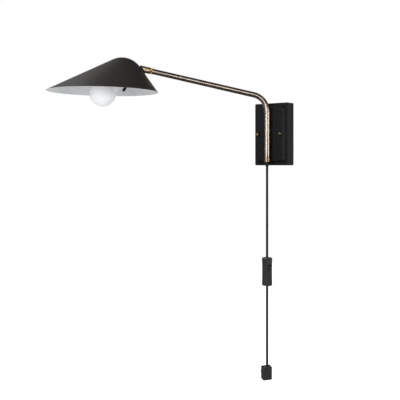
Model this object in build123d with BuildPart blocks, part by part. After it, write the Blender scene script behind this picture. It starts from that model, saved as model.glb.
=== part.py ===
# Plug-in swing-arm wall lamp with a lopsided cone shade.
# Frame: +Z up, the wall is the plane Y = 0, the lamp stands out towards -Y, +X is the viewer's right.
# The origin is the middle of the wall bracket's back face. All lengths are millimetres, angles degrees.
import os
from math import atan2, cos, degrees, pi, radians, sin, sqrt, tan

from build123d import *

os.makedirs("parts", exist_ok=True)

# ---------------------------------------------------------------- driving dimensions
# Wall plate: a pressed steel cover with a raised panel.
plate_w = 111.5
plate_h = 178.0
plate_depth = 31.5
plate_sheet = 1.2
plate_corner = 4.0
plate_edge = 0.9
panel_border = 8.5
panel_rise = 7.5
panel_run = 4.4
panel_corner = 6.5
panel_edge = 0.8

# Bracket, studs and ball nuts that hold the plate to the wall.
bracket_t = 2.0
bracket_arm_w = 20.0
bracket_span = 96.0
bracket_height = 112.0
bracket_corner = 4.0
wall_screw_span = 88.9
wall_screw_hole = 5.0
stud_span = 75.0
stud_d = 4.2
stud_head_d = 8.0
stud_head_t = 1.2
stud_recess = 0.2
stud_nut_af = 8.7
stud_nut_t = 3.2
ball_nut_d = 9.5
ball_nut_seat = 0.55
ball_nut_depth = 6.0

# Vertical wall tube and its two posts.
tube_stand = 52.0
tube_od = 15.9
tube_wall = 1.2
tube_bottom = -64.0
seam_z = 62.9
post_d = 8.0
post_high_z = 34.8
post_low_z = -31.6
post_screw_d = 4.0
post_screw_head_d = 7.6
post_screw_head_t = 2.6
post_thread = 5.0
post_washer_d = 10.0
post_washer_t = 0.8
post_fillet = 0.5

# Golden collar, strain relief and the lead in the tube.
collar_od = 16.8
collar_h = 15.0
collar_edge = 0.5
collar_spigot = 9.0
relief_top_d = 11.2
relief_end_d = 8.0
relief_h = 14.2
relief_neck_d = 9.0
relief_neck_h = 7.0
cord_d = 6.6
lead_d = 5.0

# Swing pivot inside the wall tube.
bush_len = 14.0
bush_low_z = 20.0
spigot_d = 9.8
spigot_bore = 6.4
spigot_head_h = 6.0
spigot_tail = 4.0
seam_washer_t = 0.3
seam_gap = 0.5
wave_t = 0.9
clip_t = 1.0
clip_od = 12.6
clip_groove = 0.7
clip_opening = 5.0

# Bent arm tube.
arm_yaw = 51.0
arm_rise = 13.0
arm_corner_z = 103.0
arm_reach = 324.6
bend_radius = 49.0

# Tilt swivel at the arm's end.
knuckle_d = 18.8
knuckle_plug = 14.0
pivot_along = 11.5
shade_half_end = 28.5
shade_half_face = 24.3
lap_gap = 0.4
lap_washer_t = 0.3
chamber_d = 12.8
chamber_depth = 3.0
swivel_screw_d = 4.0
swivel_screw_head_d = 7.6
swivel_screw_sink = 2.2
swivel_slot_w = 1.0
swivel_bore = 6.0

# Shade: a spun cone with a round top, trimmed on the slant.
shade_half_angle = 50.0
shade_lean = 14.8
shade_dome = 62.3
shade_t = 1.2
shade_back_slant = 141.4
shade_front_slant = 260.5
seat_slant = 65.1
seat_along = 29.6
seat_below = 3.6

# Fixing of the shade and socket bracket.
nipple_d = 10.0
nipple_bore = 7.0
nipple_engage = 3.6
nipple_inside = 11.0
gasket_rx = 10.8
gasket_ry = 12.4
gasket_up = 2.4
washer_d = 20.0
washer_flat = 2.0
nipple_nut_af = 14.0
nipple_nut_t = 4.5
strap_t = 1.5
strap_w = 15.0
strap_low = 9.0
strap_high = 15.0
strap_end = 0.0

# Lamp holder and bulb.
holder_back = 28.0
holder_up = 11.9
holder_d = 34.0
holder_wall = 2.5
holder_cap_t = 3.0
holder_len = 47.0
holder_floor = 5.0
holder_edge = 1.5
holder_screw_d = 3.0
holder_screw_head_d = 5.5
holder_screw_head_t = 1.8
holder_screw_len = 6.0
holder_screw_span = 9.0
screw_shell_d = 27.8
screw_shell_t = 0.5
screw_shell_len = 26.0
bulb_d = 75.0
bulb_glass = 1.5
collar_wide_d = 41.0
collar_mid_d = 34.6
collar_end_d = 27.4
collar_taper_len = 12.6
collar_end_len = 7.6
collar_gap = 0.5
bulb_cap_d = 26.4
bulb_cap_len = 20.0
bulb_tip_d = 9.0
bulb_tip_len = 3.0
bulb_tip_edge = 1.0

# Switch on the cord.
switch_top_z = -350.3
switch_h = 81.3
switch_w = 23.2
switch_waist = 20.8
switch_d = 20.2
switch_corner = 5.0
switch_edge = 1.2
switch_wall = 2.0
switch_yaw = 82.0
frame_w = 16.5
frame_h = 66.0
frame_deep = 1.0
frame_corner = 1.0
window_w = 13.4
window_h = 39.6
rocker_w = 12.6
rocker_h = 37.2
rocker_mid = 2.6
rocker_end = 5.2
rocker_low = 1.5
rocker_foot = 2.5
rocker_foot_w = 8.0
rocker_angle = 8.0
pin_below = 2.4
pin_d = 2.0
ear_h = 7.0
case_screw_d = 2.5
case_screw_head_d = 4.6
case_screw_head_t = 1.6
case_screw_x = 5.6
case_screw_y = 27.0
case_boss_d = 5.4
contact_y = 13.0
contact_w = 6.0
contact_len = 10.0
contact_t = 1.0
contact_post = 4.0
contact_rise = 4.0
switch_lead_in = 9.0

# Plug at the cord's end.
plug_top_z = -661.2
plug_w = 27.3
plug_h = 38.1
plug_front = 5.4
plug_back = 6.6
plug_corner = 2.5
plug_edge = 1.6
plug_rib_w = 7.0
plug_rib_t = 0.7
plug_yaw = 63.0
plug_plate_w = 29.3
plug_plate_h = 37.0
plug_plate_t = 3.0
plug_plate_raise = 2.0
blade_w = 6.35
blade_t = 1.5
blade_out = 16.0
blade_in = 7.0
blade_span = 12.7
blade_edge = 0.7

# Clearances, all measured on the radius or on one side.
clear_hole = 0.3
clear_run = 0.05
clear_fit = 0.03
clear_lead = 0.1

# ---------------------------------------------------------------- reference planes and points
wall_plane = Plane(origin=(0, 0, 0), x_dir=(1, 0, 0), z_dir=(0, -1, 0))
yaw = radians(arm_yaw)
arm_plane = Plane(
    origin=(0, -tube_stand, 0),
    x_dir=(-sin(yaw), -cos(yaw), 0),
    z_dir=(-cos(yaw), sin(yaw), 0),
)
away = arm_plane.z_dir
towards = away * -1


def level(z):
    """Horizontal plane at height z, centred on the wall tube."""
    return Plane(origin=(0, -tube_stand, z))


def point(s, z):
    """Point of the arm's plane, s out from the wall tube and z up."""
    return arm_plane.origin + arm_plane.x_dir * s + Vector(0, 0, z)


def slope(angle):
    """Direction in the arm's plane, angle above the outward horizontal."""
    return arm_plane.x_dir * cos(radians(angle)) + Vector(0, 0, sin(radians(angle)))


def step(start, angle, length):
    """Arm-plane coordinates a length away from start along an angle."""
    return (start[0] + length * cos(radians(angle)), start[1] + length * sin(radians(angle)))


def ring(outer, inner):
    """Two circles, the inner one cut out."""
    Circle(outer / 2)
    Circle(inner / 2, mode=Mode.SUBTRACT)


def corner_radii(points):
    """Largest even arcs for a route: 0.45 of the shorter run over the tangent of half the turn."""
    radii = []
    for before, here, after in zip(points, points[1:], points[2:]):
        first = Vector(*here) - Vector(*before)
        second = Vector(*after) - Vector(*here)
        turn = first.get_angle(second)
        radii.append(0.45 * min(first.length, second.length) / tan(radians(turn / 2)))
    return radii


tube_bore = tube_od - 2 * tube_wall
plate_front = plate_depth + panel_rise
arm_start = (0, seam_z + seam_gap)
arm_corner = (0, arm_corner_z)
arm_end = (arm_reach, arm_corner_z + arm_reach * tan(radians(arm_rise)))
knuckle_plane = Plane(origin=point(*arm_end), x_dir=towards, z_dir=slope(arm_rise))
pivot = step(arm_end, arm_rise, pivot_along)
knuckle_r = knuckle_d / 2
half_face = step(arm_end, arm_rise, shade_half_end)
half_face_plane = Plane(origin=point(*half_face), x_dir=away, z_dir=slope(-shade_half_face))
back_slope = 90 - shade_half_angle + shade_lean
seat = step(step(arm_end, arm_rise, seat_along), arm_rise - 90, seat_below)
seat_plane = Plane(origin=point(*seat), x_dir=towards, z_dir=slope(back_slope - 90))
apex = step(seat, back_slope, seat_slant)

# ---------------------------------------------------------------- wall plate and bracket
panel_w = plate_w - 2 * panel_border
panel_h = plate_h - 2 * panel_border
panel_taper = degrees(atan2(panel_run, panel_rise))
panel_inset = plate_sheet / cos(radians(panel_taper)) - plate_sheet * tan(radians(panel_taper))
stud_hole = stud_d + 2 * clear_hole

with BuildPart() as canopy_cover:
    with BuildSketch(wall_plane):
        RectangleRounded(plate_w, plate_h, plate_corner)
    extrude(amount=plate_depth)
    fillet(canopy_cover.faces().sort_by(Axis.Y)[0].edges(), plate_edge)
    with BuildSketch(wall_plane.offset(plate_depth)):
        RectangleRounded(panel_w, panel_h, panel_corner)
    extrude(amount=panel_rise, taper=panel_taper)
    fillet(canopy_cover.faces().sort_by(Axis.Y)[0].edges(), panel_edge)
    with BuildSketch(wall_plane):
        RectangleRounded(plate_w - 2 * plate_sheet, plate_h - 2 * plate_sheet, plate_corner - plate_sheet)
    extrude(amount=plate_depth - plate_sheet, mode=Mode.SUBTRACT)
    with BuildSketch(wall_plane.offset(plate_depth - plate_sheet)):
        RectangleRounded(panel_w - 2 * panel_inset, panel_h - 2 * panel_inset, panel_corner - panel_inset)
    extrude(amount=panel_rise, taper=panel_taper, mode=Mode.SUBTRACT)
    with Locations(wall_plane.offset(plate_front)):
        with GridLocations(stud_span, 0, 2, 1):
            Hole(stud_hole / 2, depth=2 * panel_rise)
        with Locations((0, post_high_z), (0, post_low_z)):
            Hole(post_screw_d / 2 + clear_hole, depth=2 * panel_rise)
canopy_cover.part.label = "canopy_cover"
export_step(canopy_cover.part, "parts/canopy_cover.step")

with BuildPart() as mounting_bracket:
    with BuildSketch(wall_plane):
        RectangleRounded(bracket_span, bracket_arm_w, bracket_corner)
        RectangleRounded(bracket_arm_w, bracket_height, bracket_corner)
    extrude(amount=bracket_t)
    with Locations(wall_plane.offset(bracket_t)):
        with GridLocations(0, wall_screw_span, 1, 2):
            Hole(wall_screw_hole / 2)
        with GridLocations(stud_span, 0, 2, 1):
            Hole(stud_d / 2 + clear_fit)
    with BuildSketch(wall_plane):
        with GridLocations(stud_span, 0, 2, 1):
            Circle(stud_head_d / 2 + clear_fit)
    extrude(amount=stud_recess + stud_head_t, mode=Mode.SUBTRACT)
mounting_bracket.part.label = "mounting_bracket"
export_step(mounting_bracket.part, "parts/mounting_bracket.step")

stud_end = plate_front + ball_nut_depth - clear_hole
with BuildPart() as canopy_studs:
    with BuildSketch(wall_plane.offset(stud_recess)):
        with GridLocations(stud_span, 0, 2, 1):
            Circle(stud_head_d / 2)
    extrude(amount=stud_head_t)
    with BuildSketch(wall_plane.offset(stud_recess + stud_head_t)):
        with GridLocations(stud_span, 0, 2, 1):
            Circle(stud_d / 2)
    extrude(amount=stud_end - stud_recess - stud_head_t)
    chamfer(canopy_studs.faces().group_by(Axis.Y)[0].edges(), clear_hole)
canopy_studs.part.label = "canopy_studs"
export_step(canopy_studs.part, "parts/canopy_studs.step")

with BuildPart() as stud_nuts:
    with BuildSketch(wall_plane.offset(bracket_t)):
        with GridLocations(stud_span, 0, 2, 1):
            RegularPolygon(stud_nut_af / 2, 6, major_radius=False)
            Circle(stud_d / 2 + clear_fit, mode=Mode.SUBTRACT)
    extrude(amount=stud_nut_t)
stud_nuts.part.label = "stud_nuts"
export_step(stud_nuts.part, "parts/stud_nuts.step")

nut_front = wall_plane.offset(plate_front)
with BuildPart(nut_front) as ball_nuts:
    with GridLocations(stud_span, 0, 2, 1):
        with Locations((0, 0, ball_nut_d / 2 - ball_nut_seat)):
            Sphere(ball_nut_d / 2)
    split(bisect_by=nut_front, keep=Keep.TOP)
    with BuildSketch(nut_front):
        with GridLocations(stud_span, 0, 2, 1):
            Circle(stud_d / 2 + clear_fit)
    extrude(amount=ball_nut_depth, mode=Mode.SUBTRACT)
ball_nuts.part.label = "ball_nuts"
export_step(ball_nuts.part, "parts/ball_nuts.step")

# ---------------------------------------------------------------- posts between plate and tube
with BuildPart() as tube_posts:
    with BuildSketch(nut_front):
        with Locations((0, post_high_z), (0, post_low_z)):
            Circle(post_d / 2)
    extrude(amount=tube_stand - plate_front)
    with BuildSketch(level(tube_bottom)):
        Circle(tube_od / 2)
    extrude(amount=seam_z - tube_bottom, mode=Mode.SUBTRACT)
    with BuildSketch(nut_front):
        with Locations((0, post_high_z), (0, post_low_z)):
            Circle(post_screw_d / 2 + clear_fit)
    extrude(amount=post_thread, mode=Mode.SUBTRACT)
tube_posts.part.label = "tube_posts"
export_step(tube_posts.part, "parts/tube_posts.step")

inner_face = plate_front - plate_sheet
with BuildPart() as post_washers:
    with BuildSketch(wall_plane.offset(inner_face - post_washer_t)):
        with Locations((0, post_high_z), (0, post_low_z)):
            ring(post_washer_d, post_screw_d + 2 * clear_hole)
    extrude(amount=post_washer_t)
post_washers.part.label = "post_washers"
export_step(post_washers.part, "parts/post_washers.step")

head_face = inner_face - post_washer_t
with BuildPart() as post_screws:
    with BuildSketch(wall_plane.offset(head_face - post_screw_head_t)):
        with Locations((0, post_high_z), (0, post_low_z)):
            Circle(post_screw_head_d / 2)
    extrude(amount=post_screw_head_t)
    fillet(post_screws.faces().group_by(Axis.Y)[-1].edges(), post_fillet)
    with BuildSketch(wall_plane.offset(head_face)):
        with Locations((0, post_high_z), (0, post_low_z)):
            Circle(post_screw_d / 2)
    extrude(amount=plate_front + post_thread - clear_hole - head_face)
post_screws.part.label = "post_screws"
export_step(post_screws.part, "parts/post_screws.step")

# ---------------------------------------------------------------- wall tube, collar and strain relief
with BuildPart() as wall_tube:
    with BuildSketch(level(tube_bottom)):
        ring(tube_od, tube_bore)
    extrude(amount=seam_z - tube_bottom)
wall_tube.part.label = "wall_tube"
export_step(wall_tube.part, "parts/wall_tube.step")

collar_bottom = tube_bottom - collar_h
with BuildPart() as bottom_collar:
    with BuildSketch(level(collar_bottom)):
        Circle(collar_od / 2)
    extrude(amount=collar_h)
    fillet(bottom_collar.edges().filter_by(GeomType.CIRCLE), collar_edge)
    with BuildSketch(level(tube_bottom)):
        Circle(tube_bore / 2 - clear_fit)
    extrude(amount=collar_spigot)
    with BuildSketch(level(collar_bottom)):
        Circle(cord_d / 2 + clear_hole)
    extrude(amount=collar_h + collar_spigot, mode=Mode.SUBTRACT)
    with BuildSketch(level(collar_bottom)):
        Circle(relief_neck_d / 2 + clear_fit)
    extrude(amount=relief_neck_h + clear_hole, mode=Mode.SUBTRACT)
bottom_collar.part.label = "bottom_collar"
export_step(bottom_collar.part, "parts/bottom_collar.step")

cord_exit_z = collar_bottom - relief_h
with BuildPart() as cord_strain_relief:
    with BuildSketch(level(collar_bottom)):
        Circle(relief_top_d / 2)
    with BuildSketch(level(cord_exit_z)):
        Circle(relief_end_d / 2)
    loft()
    with BuildSketch(level(collar_bottom)):
        Circle(relief_neck_d / 2)
    extrude(amount=relief_neck_h)
    with BuildSketch(level(cord_exit_z)):
        Circle(cord_d / 2 + clear_fit)
    extrude(amount=relief_h + relief_neck_h, mode=Mode.SUBTRACT)
cord_strain_relief.part.label = "cord_strain_relief"
export_step(cord_strain_relief.part, "parts/cord_strain_relief.step")

spigot_bottom = bush_low_z - spigot_tail
with BuildPart() as tube_lead:
    with BuildSketch(level(cord_exit_z)):
        Circle(cord_d / 2)
    extrude(amount=spigot_bottom - clear_hole - cord_exit_z)
tube_lead.part.label = "tube_lead"
export_step(tube_lead.part, "parts/tube_lead.step")

# ---------------------------------------------------------------- swing pivot
with BuildPart() as pivot_bushes:
    for low in (bush_low_z, seam_z - bush_len):
        with BuildSketch(level(low)):
            ring(tube_bore - 2 * clear_fit, spigot_d + 2 * clear_run)
        extrude(amount=bush_len)
pivot_bushes.part.label = "pivot_bushes"
export_step(pivot_bushes.part, "parts/pivot_bushes.step")

with BuildPart() as seam_washer:
    with BuildSketch(level(seam_z)):
        ring(tube_od, spigot_d + 2 * clear_hole)
    extrude(amount=seam_washer_t)
seam_washer.part.label = "seam_washer"
export_step(seam_washer.part, "parts/seam_washer.step")

wave_top = bush_low_z - clear_lead
clip_top = wave_top - wave_t
groove_d = spigot_d - 2 * clip_groove
spigot_head_d = tube_bore - 2 * clear_hole
with BuildPart() as arm_spigot:
    with BuildSketch(level(spigot_bottom)):
        Circle(spigot_d / 2)
    extrude(amount=seam_z + seam_gap - spigot_bottom)
    with BuildSketch(level(seam_z + seam_gap)):
        Circle(spigot_head_d / 2)
    extrude(amount=spigot_head_h)
    with BuildSketch(level(clip_top - clip_t - clear_run)):
        ring(spigot_d + 2 * clear_run, groove_d)
    extrude(amount=clip_t + 2 * clear_run, mode=Mode.SUBTRACT)
    with BuildSketch(level(spigot_bottom)):
        Circle(spigot_bore / 2)
    extrude(amount=seam_z + seam_gap + spigot_head_h - spigot_bottom, mode=Mode.SUBTRACT)
arm_spigot.part.label = "arm_spigot"
export_step(arm_spigot.part, "parts/arm_spigot.step")

with BuildPart() as pivot_wave_washer:
    with BuildSketch(level(clip_top)):
        ring(clip_od, spigot_d + 2 * clear_lead)
    extrude(amount=wave_t)
pivot_wave_washer.part.label = "pivot_wave_washer"
export_step(pivot_wave_washer.part, "parts/pivot_wave_washer.step")

with BuildPart() as pivot_clip:
    with BuildSketch(level(clip_top - clip_t)):
        ring(clip_od, groove_d + 2 * clear_fit)
        with Locations((0, -clip_od / 2)):
            Rectangle(clip_opening, clip_od, mode=Mode.SUBTRACT)
    extrude(amount=clip_t)
pivot_clip.part.label = "pivot_clip"
export_step(pivot_clip.part, "parts/pivot_clip.step")

# ---------------------------------------------------------------- arm
with BuildLine(arm_plane) as arm_route:
    FilletPolyline(arm_start, arm_corner, arm_end, radius=bend_radius)

with BuildPart() as arm_tube:
    with BuildSketch(level(arm_start[1])):
        ring(tube_od, tube_bore)
    sweep(path=arm_route.line)
arm_tube.part.label = "arm_tube"
export_step(arm_tube.part, "parts/arm_tube.step")

lead_stop = step(arm_end, arm_rise, -clear_hole)
with BuildLine(arm_plane) as lead_route:
    FilletPolyline((0, spigot_bottom), arm_corner, lead_stop, radius=bend_radius)

with BuildPart() as arm_lead:
    with BuildSketch(level(spigot_bottom)):
        Circle(lead_d / 2)
    sweep(path=lead_route.line)
arm_lead.part.label = "arm_lead"
export_step(arm_lead.part, "parts/arm_lead.step")

# ---------------------------------------------------------------- tilt swivel
lap_side = Plane(origin=point(*pivot), x_dir=slope(arm_rise), z_dir=away)
lap_face = lap_gap / 2
shoulder = knuckle_r + clear_hole
screw_hole_r = swivel_screw_d / 2 + clear_lead
sink_r = swivel_screw_head_d / 2 + clear_lead

knuckle_axis = Axis(lap_side.origin, lap_side.x_dir)


def knuckle(ball, length):
    """Half outline of a round bar along the arm's line, with its ball end on the pivot's side ball."""
    with BuildLine() as side:
        middle = (ball * knuckle_r * cos(pi / 4), knuckle_r * sin(pi / 4))
        ThreePointArc((0, knuckle_r), middle, (ball * knuckle_r, 0))
        Polyline((ball * knuckle_r, 0), (-ball * length, 0), (-ball * length, knuckle_r), (0, knuckle_r))
    make_face(side.edges())


with BuildPart() as swivel_arm_half:
    with BuildSketch(lap_side):
        knuckle(1, pivot_along)
    revolve(axis=knuckle_axis)
    with BuildSketch(lap_side.offset(lap_face)):
        with Locations((-shoulder, 0)):
            Rectangle(shoulder + knuckle_d, 2 * knuckle_d, align=(Align.MIN, Align.CENTER))
    extrude(amount=-knuckle_d, mode=Mode.SUBTRACT)
    with BuildSketch(knuckle_plane):
        Circle(tube_bore / 2 - clear_fit)
    extrude(amount=-knuckle_plug)
    with BuildSketch(lap_side.offset(lap_face)):
        Circle(chamber_d / 2)
    extrude(amount=chamber_depth, mode=Mode.SUBTRACT)
    with BuildSketch(knuckle_plane.offset(-knuckle_plug)):
        Circle(swivel_bore / 2)
    extrude(amount=knuckle_plug + pivot_along - chamber_d / 4, mode=Mode.SUBTRACT)
    with BuildSketch(lap_side.offset(lap_face)):
        Circle(screw_hole_r)
    extrude(amount=knuckle_r, mode=Mode.SUBTRACT)
    with BuildSketch(lap_side.offset(knuckle_r)):
        Circle(sink_r)
    extrude(amount=-swivel_screw_sink - clear_hole, mode=Mode.SUBTRACT)
swivel_arm_half.part.label = "swivel_arm_half"
export_step(swivel_arm_half.part, "parts/swivel_arm_half.step")

face_tilt = radians(90 - back_slope - shade_half_face)
face_from_seat = half_face_plane.origin - seat_plane.origin
nipple_entry = face_from_seat.dot(seat_plane.z_dir) + face_from_seat.dot(seat_plane.y_dir) * tan(face_tilt)
nipple_outer = nipple_entry - nipple_engage

with BuildPart() as swivel_shade_half:
    with BuildSketch(lap_side):
        knuckle(-1, 2 * shade_half_end)
    revolve(axis=knuckle_axis)
    with BuildSketch(lap_side.offset(-lap_face)):
        with Locations((shoulder, 0)):
            Rectangle(shoulder + knuckle_d, 2 * knuckle_d, align=(Align.MAX, Align.CENTER))
    extrude(amount=knuckle_d, mode=Mode.SUBTRACT)
    split(bisect_by=half_face_plane, keep=Keep.BOTTOM)
    with BuildSketch(lap_side.offset(-lap_face)):
        Circle(chamber_d / 2)
    extrude(amount=-chamber_depth, mode=Mode.SUBTRACT)
    with BuildSketch(lap_side.offset(-lap_face)):
        Circle(swivel_screw_d / 2 + clear_fit)
    extrude(amount=-(knuckle_r - swivel_screw_sink), mode=Mode.SUBTRACT)
    with BuildSketch(knuckle_plane.offset(pivot_along + chamber_d / 4)):
        Circle(swivel_bore / 2)
    extrude(amount=shade_half_end - pivot_along, mode=Mode.SUBTRACT)
    with BuildSketch(seat_plane.offset(nipple_outer - clear_hole)):
        Circle(nipple_d / 2 + clear_fit)
    extrude(amount=2 * nipple_engage - nipple_entry, mode=Mode.SUBTRACT)
swivel_shade_half.part.label = "swivel_shade_half"
export_step(swivel_shade_half.part, "parts/swivel_shade_half.step")

with BuildPart() as swivel_screw:
    with BuildSketch(lap_side.offset(knuckle_r - swivel_screw_sink)):
        Circle(swivel_screw_head_d / 2)
    extrude(amount=swivel_screw_sink - clear_hole)
    with BuildSketch(lap_side.offset(knuckle_r - swivel_screw_sink)):
        Circle(swivel_screw_d / 2)
    extrude(amount=-2 * (knuckle_r - swivel_screw_sink) + clear_hole)
    with BuildSketch(lap_side.offset(knuckle_r)):
        Rectangle(swivel_slot_w, swivel_screw_head_d)
    extrude(amount=-swivel_screw_sink / 2, mode=Mode.SUBTRACT)
swivel_screw.part.label = "swivel_screw"
export_step(swivel_screw.part, "parts/swivel_screw.step")

with BuildPart() as swivel_friction_washer:
    with BuildSketch(lap_side.offset(-lap_washer_t / 2)):
        ring(knuckle_d - 2 * clear_hole, chamber_d + 2 * clear_hole)
    extrude(amount=lap_washer_t)
swivel_friction_washer.part.label = "swivel_friction_washer"
export_step(swivel_friction_washer.part, "parts/swivel_friction_washer.step")

# ---------------------------------------------------------------- shade
dome_drop = shade_dome / sin(radians(shade_half_angle))
shade_axis_angle = shade_lean - 90
shade_plane = Plane(origin=point(*apex), x_dir=slope(shade_lean), z_dir=away)
shade_axis = Axis(origin=point(*apex), direction=slope(shade_axis_angle))
side_x = sin(radians(shade_half_angle))
side_y = -cos(radians(shade_half_angle))
skirt = shade_front_slant + 4 * shade_t
back_tip = step(apex, back_slope - 180, shade_back_slant)
front_tip = step(apex, shade_axis_angle + shade_half_angle, shade_front_slant)
rim_tilt = degrees(atan2(front_tip[1] - back_tip[1], front_tip[0] - back_tip[0]))
rim_centre = ((back_tip[0] + front_tip[0]) / 2, (back_tip[1] + front_tip[1]) / 2)
rim_plane = Plane(origin=point(*rim_centre), x_dir=slope(rim_tilt), z_dir=slope(rim_tilt + 90))


def cone_side(inset):
    """Half outline of the cone and its round top, inset from the outer skin."""
    shift_x = inset * side_y
    shift_y = -inset * side_x
    end = (skirt * side_x + shift_x, skirt * side_y + shift_y)
    top = (0, shade_dome - inset - dome_drop)
    dome = CenterArc((0, -dome_drop), shade_dome - inset, shade_half_angle, 90 - shade_half_angle)
    Line(dome @ 0, end)
    return end, top


with BuildPart() as shade_outer:
    with BuildSketch(shade_plane):
        with BuildLine():
            end, top = cone_side(0)
            Polyline(end, (0, end[1]), top)
        make_face()
    revolve(axis=shade_axis)

with BuildPart() as shade_inner:
    with BuildSketch(shade_plane):
        with BuildLine():
            end, top = cone_side(shade_t)
            Polyline(end, (0, end[1]), top)
        make_face()
    revolve(axis=shade_axis)

with BuildPart() as shade:
    add(shade_outer.part)
    add(shade_inner.part, mode=Mode.SUBTRACT)
    split(bisect_by=rim_plane, keep=Keep.TOP)
    with BuildSketch(seat_plane.offset(-2 * shade_t)):
        Circle(nipple_d / 2 + clear_hole)
    extrude(amount=6 * shade_t, mode=Mode.SUBTRACT)
shade.part.label = "shade"
export_step(shade.part, "parts/shade.step")

gasket_top = seat_plane.offset(-knuckle_d)
with BuildPart() as shade_gasket:
    with BuildSketch(gasket_top):
        with Locations((0, gasket_up)):
            Ellipse(gasket_rx, gasket_ry)
        Circle(nipple_d / 2 + clear_lead, mode=Mode.SUBTRACT)
    extrude(amount=knuckle_d + gasket_rx)
    split(bisect_by=half_face_plane, keep=Keep.TOP)
    add(shade_outer.part, mode=Mode.SUBTRACT)
shade_gasket.part.label = "shade_gasket"
export_step(shade_gasket.part, "parts/shade_gasket.step")

washer_face = shade_t + washer_flat
with BuildPart() as saddle_washer:
    with BuildSketch(seat_plane.offset(washer_face)):
        ring(washer_d, nipple_d + 2 * clear_lead)
    extrude(amount=-washer_face)
    add(shade_inner.part, mode=Mode.INTERSECT)
saddle_washer.part.label = "saddle_washer"
export_step(saddle_washer.part, "parts/saddle_washer.step")

with BuildPart() as shade_nipple:
    with BuildSketch(seat_plane.offset(nipple_outer)):
        ring(nipple_d, nipple_bore)
    extrude(amount=nipple_inside - nipple_outer)
shade_nipple.part.label = "shade_nipple"
export_step(shade_nipple.part, "parts/shade_nipple.step")

strap_face = washer_face + strap_t
with BuildPart() as nipple_nut:
    with BuildSketch(seat_plane.offset(strap_face)):
        RegularPolygon(nipple_nut_af / 2, 6, major_radius=False)
        Circle(nipple_d / 2 + clear_fit, mode=Mode.SUBTRACT)
    extrude(amount=nipple_nut_t)
nipple_nut.part.label = "nipple_nut"
export_step(nipple_nut.part, "parts/nipple_nut.step")

# ---------------------------------------------------------------- lamp holder
holder_plane = Plane(
    origin=seat_plane.origin + seat_plane.y_dir * holder_up,
    x_dir=seat_plane.x_dir,
    z_dir=seat_plane.z_dir,
)
strap_side = Plane(
    origin=seat_plane.origin + towards * (strap_w / 2),
    x_dir=seat_plane.z_dir,
    z_dir=away,
)
strap_back = holder_back - strap_t
holder_screw_places = (
    (holder_screw_span / 2, -holder_screw_head_d),
    (-holder_screw_span / 2, -holder_screw_head_d),
)

with BuildPart() as socket_bracket:
    with BuildSketch(strap_side):
        with BuildLine():
            Polyline(
                (washer_face, -strap_low),
                (washer_face, strap_high + strap_t),
                (holder_back, strap_high + strap_t),
                (holder_back, strap_end),
                (strap_back, strap_end),
                (strap_back, strap_high),
                (strap_face, strap_high),
                (strap_face, -strap_low),
                close=True,
            )
        make_face()
    extrude(amount=strap_w)
    with BuildSketch(seat_plane.offset(washer_face)):
        Circle(nipple_d / 2 + clear_lead)
    extrude(amount=strap_t, mode=Mode.SUBTRACT)
    with BuildSketch(holder_plane.offset(strap_back)):
        with Locations(*holder_screw_places):
            Circle(holder_screw_d / 2 + clear_lead)
    extrude(amount=strap_t, mode=Mode.SUBTRACT)
socket_bracket.part.label = "socket_bracket"
export_step(socket_bracket.part, "parts/socket_bracket.step")

with BuildPart() as holder_screws:
    with BuildSketch(holder_plane.offset(strap_back)):
        with Locations(*holder_screw_places):
            Circle(holder_screw_head_d / 2)
    extrude(amount=-holder_screw_head_t)
    fillet(holder_screws.faces().sort_by(Axis(strap_side.origin, seat_plane.z_dir))[:2].edges(), post_fillet)
    with BuildSketch(holder_plane.offset(strap_back)):
        with Locations(*holder_screw_places):
            Circle(holder_screw_d / 2)
    extrude(amount=holder_screw_len)
holder_screws.part.label = "holder_screws"
export_step(holder_screws.part, "parts/holder_screws.step")

body_back = holder_back + holder_cap_t
with BuildPart() as socket_cap:
    with BuildSketch(holder_plane.offset(holder_back)):
        Circle(holder_d / 2)
    extrude(amount=holder_cap_t)
    fillet(socket_cap.edges().group_by(Axis(holder_plane.origin, holder_plane.z_dir))[0], holder_edge)
    with BuildSketch(holder_plane.offset(holder_back)):
        with Locations(*holder_screw_places):
            Circle(holder_screw_d / 2 + clear_fit)
    extrude(amount=holder_cap_t, mode=Mode.SUBTRACT)
socket_cap.part.label = "socket_cap"
export_step(socket_cap.part, "parts/socket_cap.step")

# Route of the black lead from the nipple, under the holder and round into its far side.
# Each point is given towards the viewer, up the shade's back wall and inward from it.
entry_angle = radians(225)
entry_reach = holder_d / 2 - holder_wall + lead_d / 10
entry_run = 14.0
entry_deep = 66.0


def entry_point(reach):
    """Route point beside the holder, reach away from its axis, on its far lower side."""
    return (reach * cos(entry_angle), holder_up + reach * sin(entry_angle), entry_deep)


lead_points = [
    (0, 0, nipple_outer),
    (0, 0, 16),
    (0, -9.2, 27),
    (0, -9.2, 48),
    (0, -10, 66),
    (-3, -12.4, 76),
    (-12, -14.2, 80),
    (-21.5, -13.6, 74.5),
    entry_point(entry_reach + entry_run),
    entry_point(entry_reach),
]
with BuildLine(seat_plane) as lamp_route:
    FilletPolyline(*lead_points, radius=corner_radii(lead_points))

with BuildPart() as lamp_lead:
    with BuildSketch(seat_plane.offset(nipple_outer)):
        Circle(lead_d / 2)
    sweep(path=lamp_route.line)
lamp_lead.part.label = "lamp_lead"
export_step(lamp_lead.part, "parts/lamp_lead.step")
print("lamp lead radii", [round(r, 1) for r in corner_radii(lead_points)])
lead_volume = pi * lead_d ** 2 / 4 * sum(edge.length for edge in lamp_route.edges())
print("lamp lead volume over section times length", round(lamp_lead.part.volume / lead_volume, 4))

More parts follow.
